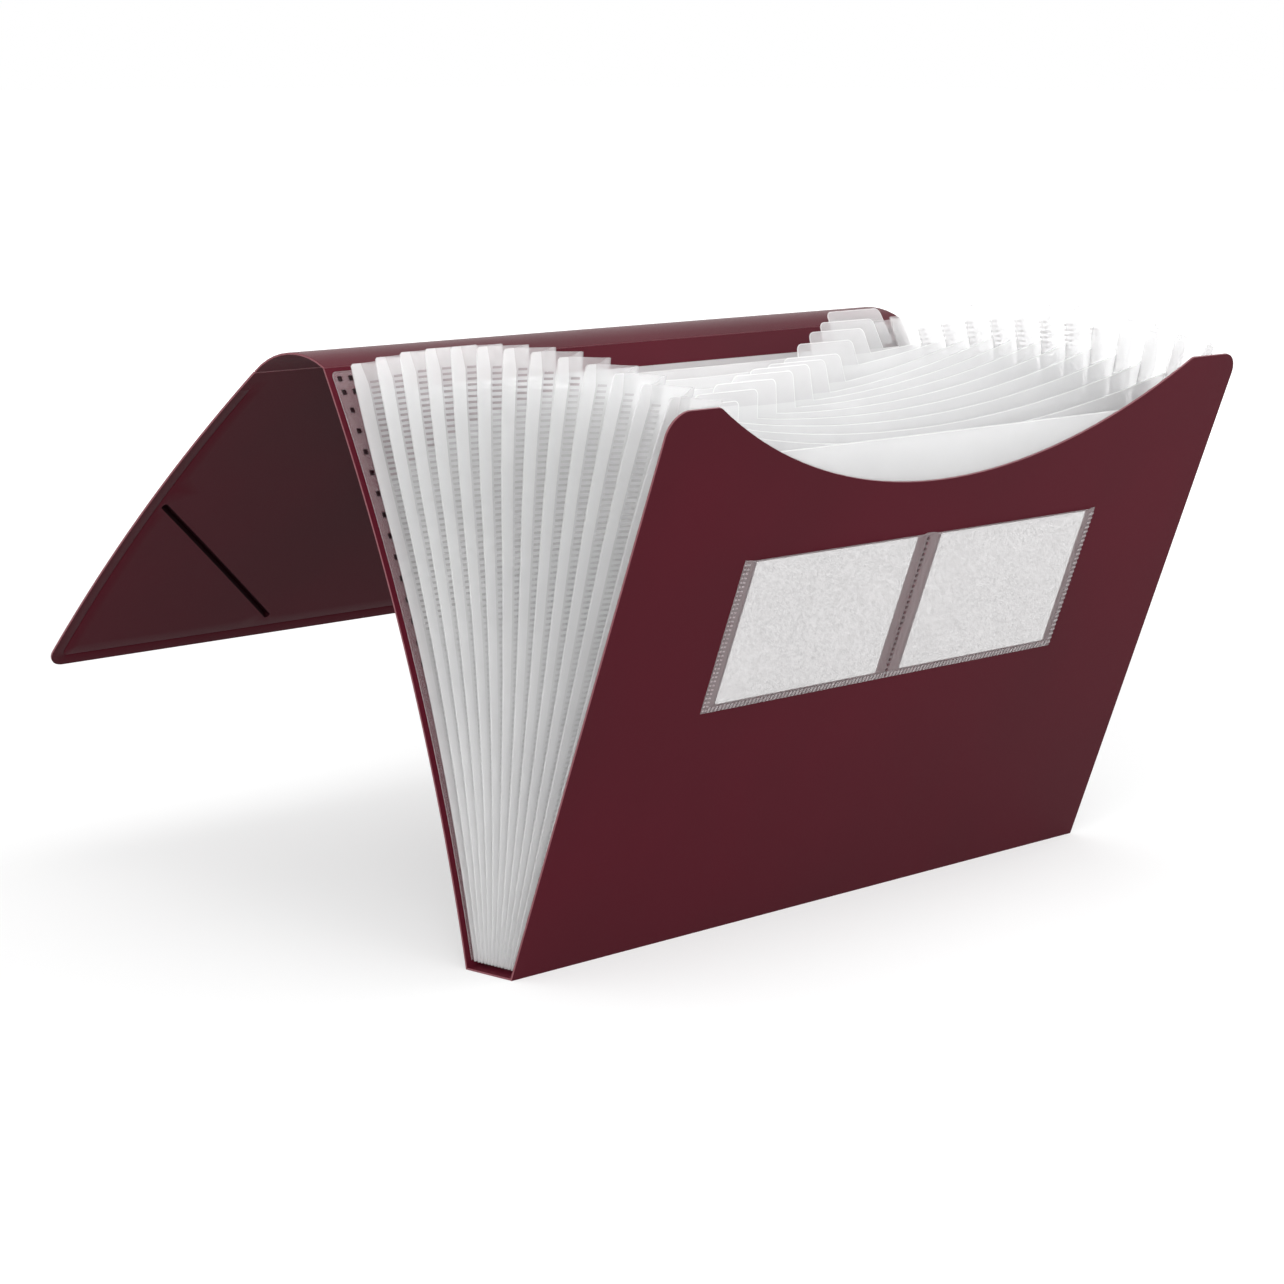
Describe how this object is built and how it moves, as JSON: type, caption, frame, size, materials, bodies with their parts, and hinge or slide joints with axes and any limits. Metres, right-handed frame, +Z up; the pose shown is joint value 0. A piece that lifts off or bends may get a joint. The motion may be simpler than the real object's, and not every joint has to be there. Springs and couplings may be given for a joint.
{
  "type": "accordion file folder",
  "caption": "Open accordion file: creased sheet cover with flap, fanned translucent film pockets with index tabs and side pleats, and a clear label pocket with cards.",
  "frame": {"origin": "middle of the bottom spine's underside, on the surface the file stands on", "axes": "+X along the width to the right, +Y from the front panel to the back panel, +Z up"},
  "size_m": [0.33, 0.3428, 0.2223],
  "materials": {
    "cover_sheet": "matte fine-grained sheet, dark red",
    "pocket_film": "frosted translucent film",
    "weld_mark": "fused spot",
    "label_film": "clear glossy film",
    "label_card": "white card"
  },
  "bodies": {
    "bottom_spine": {"bottom_spine": "cover_sheet", "pocket_base": "pocket_film"},
    "front_panel": {"front_panel": "cover_sheet", "pocket_front_sheet": "pocket_film", "label_pocket": "label_film"},
    "back_panel": {"back_panel": "cover_sheet", "pocket_back_sheet": "pocket_film", "back_spot_welds": "weld_mark", "pleat_left_1": "pocket_film", "pleat_right_1": "pocket_film"},
    "top_spine": {"top_spine": "cover_sheet"},
    "flap": {"flap": "cover_sheet"},
    "card_left": {"card_left": "label_card"},
    "card_right": {"card_right": "label_card"},
    "divider_1": {"divider_1": "pocket_film", "pleat_left_2": "pocket_film", "pleat_right_2": "pocket_film"},
    "divider_2": {"divider_2": "pocket_film", "pleat_left_3": "pocket_film", "pleat_right_3": "pocket_film"},
    "divider_3": {"divider_3": "pocket_film", "pleat_left_4": "pocket_film", "pleat_right_4": "pocket_film"},
    "divider_4": {"divider_4": "pocket_film", "pleat_left_5": "pocket_film", "pleat_right_5": "pocket_film"},
    "divider_5": {"divider_5": "pocket_film", "pleat_left_6": "pocket_film", "pleat_right_6": "pocket_film"},
    "divider_6": {"divider_6": "pocket_film", "pleat_left_7": "pocket_film", "pleat_right_7": "pocket_film"},
    "divider_7": {"divider_7": "pocket_film", "pleat_left_8": "pocket_film", "pleat_right_8": "pocket_film"},
    "divider_8": {"divider_8": "pocket_film", "pleat_left_9": "pocket_film", "pleat_right_9": "pocket_film"},
    "divider_9": {"divider_9": "pocket_film", "pleat_left_10": "pocket_film", "pleat_right_10": "pocket_film"},
    "divider_10": {"divider_10": "pocket_film", "pleat_left_11": "pocket_film", "pleat_right_11": "pocket_film"},
    "divider_11": {"divider_11": "pocket_film", "pleat_left_12": "pocket_film", "pleat_right_12": "pocket_film"},
    "divider_12": {"divider_12": "pocket_film", "pleat_left_13": "pocket_film", "pleat_right_13": "pocket_film"}
  },
  "joints": [
    {"name": "front_fold", "type": "hinge", "parent": "bottom_spine", "child": "front_panel", "pos_m": [0, -0.01135, 0.0004], "axis": [-1, 0, 0], "range_deg": [0, 20.5], "deforming": ["pleat_left_1", "pleat_right_1", "pleat_left_2", "pleat_right_2", "pleat_left_3", "pleat_right_3", "pleat_left_4", "pleat_right_4", "pleat_left_5", "pleat_right_5", "pleat_left_6", "pleat_right_6", "pleat_left_7", "pleat_right_7", "pleat_left_8", "pleat_right_8", "pleat_left_9", "pleat_right_9", "pleat_left_10", "pleat_right_10", "pleat_left_11", "pleat_right_11", "pleat_left_12", "pleat_right_12", "pleat_left_13", "pleat_right_13", "top_spine"]},
    {"name": "back_fold", "type": "hinge", "parent": "bottom_spine", "child": "back_panel", "pos_m": [0, 0.01135, 0.0004], "axis": [1, 0, 0], "range_deg": [0, 18.92]},
    {"name": "divider_1_fold", "type": "hinge", "parent": "bottom_spine", "child": "divider_1", "pos_m": [0, 0.00903, 0.00185], "axis": [1, 0, 0], "range_deg": [0, 15.89]},
    {"name": "divider_2_fold", "type": "hinge", "parent": "bottom_spine", "child": "divider_2", "pos_m": [0, 0.00739, 0.00185], "axis": [1, 0, 0], "range_deg": [0, 12.86]},
    {"name": "divider_3_fold", "type": "hinge", "parent": "bottom_spine", "child": "divider_3", "pos_m": [0, 0.00575, 0.00185], "axis": [1, 0, 0], "range_deg": [0, 9.83]},
    {"name": "divider_4_fold", "type": "hinge", "parent": "bottom_spine", "child": "divider_4", "pos_m": [0, 0.00411, 0.00185], "axis": [1, 0, 0], "range_deg": [0, 6.8]},
    {"name": "divider_5_fold", "type": "hinge", "parent": "bottom_spine", "child": "divider_5", "pos_m": [0, 0.00246, 0.00185], "axis": [1, 0, 0], "range_deg": [0, 3.77]},
    {"name": "divider_6_fold", "type": "hinge", "parent": "bottom_spine", "child": "divider_6", "pos_m": [0, 0.00082, 0.00185], "axis": [1, 0, 0], "range_deg": [0, 0.7354]},
    {"name": "divider_7_fold", "type": "hinge", "parent": "bottom_spine", "child": "divider_7", "pos_m": [0, -0.00082, 0.00185], "axis": [-1, 0, 0], "range_deg": [0, 2.34]},
    {"name": "divider_8_fold", "type": "hinge", "parent": "bottom_spine", "child": "divider_8", "pos_m": [0, -0.00246, 0.00185], "axis": [-1, 0, 0], "range_deg": [0, 5.37]},
    {"name": "divider_9_fold", "type": "hinge", "parent": "bottom_spine", "child": "divider_9", "pos_m": [0, -0.00411, 0.00185], "axis": [-1, 0, 0], "range_deg": [0, 8.4]},
    {"name": "divider_10_fold", "type": "hinge", "parent": "bottom_spine", "child": "divider_10", "pos_m": [0, -0.00575, 0.00185], "axis": [-1, 0, 0], "range_deg": [0, 11.43]},
    {"name": "divider_11_fold", "type": "hinge", "parent": "bottom_spine", "child": "divider_11", "pos_m": [0, -0.00739, 0.00185], "axis": [-1, 0, 0], "range_deg": [0, 14.46]},
    {"name": "divider_12_fold", "type": "hinge", "parent": "bottom_spine", "child": "divider_12", "pos_m": [0, -0.00903, 0.00185], "axis": [-1, 0, 0], "range_deg": [0, 17.49]},
    {"name": "top_fold", "type": "hinge", "parent": "back_panel", "child": "top_spine", "pos_m": [0, 0.08345, 0.211], "axis": [1, 0, 0], "range_deg": [0, 130.22]},
    {"name": "flap_fold", "type": "hinge", "parent": "top_spine", "child": "flap", "pos_m": [0, 0.12174, 0.20691], "axis": [1, 0, 0], "range_deg": [0, 164.5]},
    {"name": "card_left_slide", "type": "slide", "parent": "front_panel", "child": "card_left", "axis": [0, -0.3502, 0.9367], "range_m": [0, 0.065]},
    {"name": "card_right_slide", "type": "slide", "parent": "front_panel", "child": "card_right", "axis": [0, -0.3502, 0.9367], "range_m": [0, 0.065]}
  ],
  "couplings": [
    {"joint": "back_fold", "follows": "front_fold", "ratio": 0.92195},
    {"joint": "divider_1_fold", "follows": "front_fold", "ratio": 0.77411},
    {"joint": "divider_2_fold", "follows": "front_fold", "ratio": 0.62627},
    {"joint": "divider_3_fold", "follows": "front_fold", "ratio": 0.47842},
    {"joint": "divider_4_fold", "follows": "front_fold", "ratio": 0.33058},
    {"joint": "divider_5_fold", "follows": "front_fold", "ratio": 0.18274},
    {"joint": "divider_6_fold", "follows": "front_fold", "ratio": 0.034897},
    {"joint": "divider_7_fold", "follows": "front_fold", "ratio": 0.11295},
    {"joint": "divider_8_fold", "follows": "front_fold", "ratio": 0.26079},
    {"joint": "divider_9_fold", "follows": "front_fold", "ratio": 0.40863},
    {"joint": "divider_10_fold", "follows": "front_fold", "ratio": 0.55647},
    {"joint": "divider_11_fold", "follows": "front_fold", "ratio": 0.70432},
    {"joint": "divider_12_fold", "follows": "front_fold", "ratio": 0.85216},
    {"joint": "top_fold", "follows": "front_fold", "ratio": 6.3512}
  ]
}
